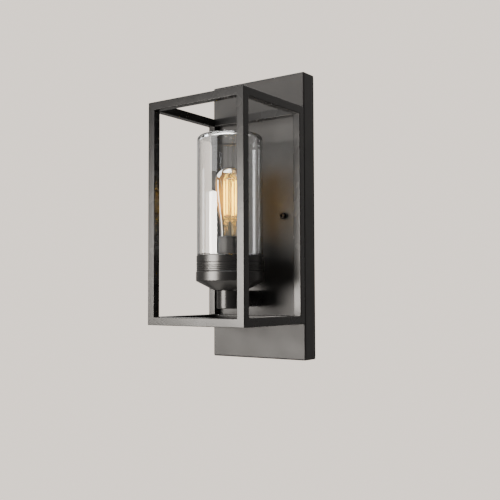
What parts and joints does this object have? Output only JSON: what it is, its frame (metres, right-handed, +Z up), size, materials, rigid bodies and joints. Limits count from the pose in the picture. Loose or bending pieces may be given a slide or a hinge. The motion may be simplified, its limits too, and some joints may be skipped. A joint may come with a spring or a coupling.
{
  "type": "outdoor wall lantern",
  "caption": "Black outdoor wall lantern: tall backplate, open box-frame cage, and a clear glass cylinder over a filament bulb in a turned cup on an arm.",
  "frame": {"origin": "middle of the crossbar's back face, on the wall plane, behind the backplate's centre", "axes": "+X to the right of someone facing the lantern, +Y into the wall, +Z up"},
  "size_m": [0.15, 0.1623, 0.378],
  "materials": {
    "plate_coat": "satin black powder coat",
    "cage_coat": "satin black powder coat",
    "holder_coat": "satin black powder coat over turned metal",
    "seal_rubber": "matte",
    "zinc_steel": "zinc plated",
    "screw_black": "black oxide",
    "ground_green": "green coated",
    "shade_glass": "clear, polished",
    "bulb_glass": "faintly amber, polished",
    "mount_glass": "clear",
    "socket_black": "satin phenolic",
    "contact_brass": "bright",
    "base_nickel": "nickel plated",
    "insulator_black": "glossy",
    "filament_glow": "glowing phosphor coat",
    "filament_holder": "dull wire",
    "wire_black": "insulation",
    "wire_white": "insulation",
    "wire_green": "insulation",
    "connector_yellow": "ribbed"
  },
  "bodies": {
    "lantern": {"backplate_pan": "plate_coat", "cage_front_post_left": "cage_coat", "cage_front_post_right": "cage_coat", "cage_front_rail_top": "cage_coat", "cage_front_rail_bottom": "cage_coat", "cage_back_post_left": "cage_coat", "cage_back_post_right": "cage_coat", "cage_back_rail_top": "cage_coat", "cage_back_rail_bottom": "cage_coat", "cage_side_rail_top_left": "cage_coat", "cage_side_rail_top_right": "cage_coat", "cage_side_rail_bottom_left": "cage_coat", "cage_side_rail_bottom_right": "cage_coat", "arm_tube": "holder_coat", "stem_housing": "holder_coat", "lamp_cup": "holder_coat", "wall_gasket": "seal_rubber", "crossbar": "zinc_steel", "arm_nipple": "zinc_steel", "arm_lock_washer": "zinc_steel", "arm_hex_nut": "zinc_steel", "cup_nipple": "zinc_steel", "cup_lock_washer": "zinc_steel", "cup_hex_nut": "zinc_steel", "cage_screw_top_left": "zinc_steel", "cage_screw_top_right": "zinc_steel", "cage_screw_bottom_left": "zinc_steel", "cage_screw_bottom_right": "zinc_steel", "ground_screw": "ground_green", "socket_body": "socket_black", "socket_cap": "socket_black", "socket_screw_shell": "contact_brass", "socket_centre_contact": "contact_brass", "live_lead": "wire_black", "neutral_lead": "wire_white", "ground_lead": "wire_green", "live_connector": "connector_yellow", "neutral_connector": "connector_yellow"},
    "shade_seal": {"shade_gasket": "seal_rubber"},
    "shade": {"glass_shade": "shade_glass", "shade_collar": "holder_coat"},
    "bulb_tip": {"bulb_tip_contact": "base_nickel"},
    "bulb": {"bulb_screw_shell": "base_nickel", "bulb_insulator": "insulator_black", "bulb_envelope": "bulb_glass", "bulb_glass_mount": "mount_glass", "filament_ring": "filament_holder", "filament_cross": "filament_holder", "bulb_lead_in_left": "filament_holder", "bulb_lead_in_right": "filament_holder", "filament_strip_1": "filament_glow", "filament_strip_2": "filament_glow", "filament_strip_3": "filament_glow", "filament_strip_4": "filament_glow"},
    "washer_left": {"sealing_washer_left": "seal_rubber"},
    "screw_left": {"mounting_screw_left": "screw_black"},
    "washer_right": {"sealing_washer_right": "seal_rubber"},
    "screw_right": {"mounting_screw_right": "screw_black"}
  },
  "joints": [
    {"name": "shade_lift", "type": "slide", "parent": "lantern", "child": "shade_seal", "axis": [0, 0, 1], "range_m": [0, 0.215]},
    {"name": "shade_turn", "type": "hinge", "parent": "shade_seal", "child": "shade", "pos_m": [0, -0.0885, -0.0635], "axis": [0, 0, 1], "continuous": true},
    {"name": "bulb_lift", "type": "slide", "parent": "lantern", "child": "bulb_tip", "axis": [0, 0, 1], "range_m": [0, 0.0109]},
    {"name": "bulb_turn", "type": "hinge", "parent": "bulb_tip", "child": "bulb", "pos_m": [0, -0.0885, -0.04], "axis": [0, 0, 1], "range_deg": [0, 1080]},
    {"name": "screw_out_left", "type": "slide", "parent": "lantern", "child": "washer_left", "axis": [0, -1, 0], "range_m": [0, 0.0064]},
    {"name": "screw_turn_left", "type": "hinge", "parent": "washer_left", "child": "screw_left", "pos_m": [-0.044, -0.03, 0], "axis": [0, -1, 0], "range_deg": [0, 2880]},
    {"name": "screw_out_right", "type": "slide", "parent": "lantern", "child": "washer_right", "axis": [0, -1, 0], "range_m": [0, 0.0064]},
    {"name": "screw_turn_right", "type": "hinge", "parent": "washer_right", "child": "screw_right", "pos_m": [0.044, -0.03, 0], "axis": [0, -1, 0], "range_deg": [0, 2880]}
  ],
  "couplings": [
    {"joint": "bulb_lift", "follows": "bulb_turn", "m_per_rad": 0.00057773},
    {"joint": "screw_turn_left", "follows": "screw_out_left", "rad_per_m": 7854},
    {"joint": "screw_turn_right", "follows": "screw_out_right", "rad_per_m": 7854}
  ]
}
